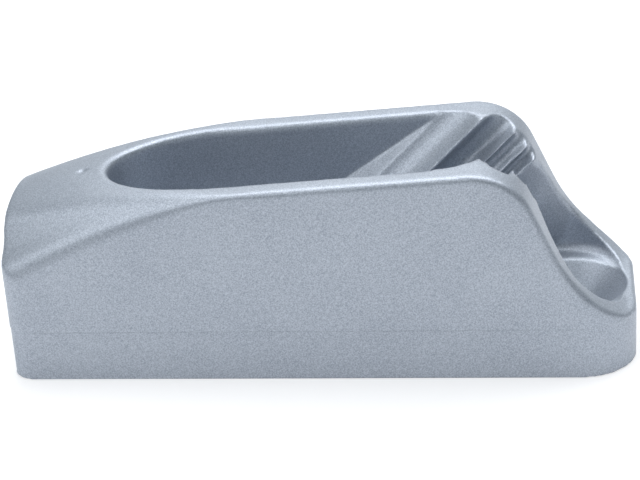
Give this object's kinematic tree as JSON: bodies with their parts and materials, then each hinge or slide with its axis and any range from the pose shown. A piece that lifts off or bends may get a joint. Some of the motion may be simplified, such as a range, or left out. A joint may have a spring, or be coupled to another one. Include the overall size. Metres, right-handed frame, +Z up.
{
  "type": "jam cleat",
  "caption": "One piece cast jam cleat with a rope tunnel at one end, an open pocket, slanting toothed V jaws and a countersunk tail.",
  "frame": {"origin": "centre of the base, on the deck", "axes": "+X along the cleat from the tunnel end to the tail, +Y across it, +Z up from the deck"},
  "size_m": [0.0826, 0.026, 0.0284],
  "materials": {
    "cast_metal": "satin blue-grey, lightly textured cast surface"
  },
  "bodies": {
    "root": {"cleat_body": "cast_metal"}
  },
  "joints": []
}
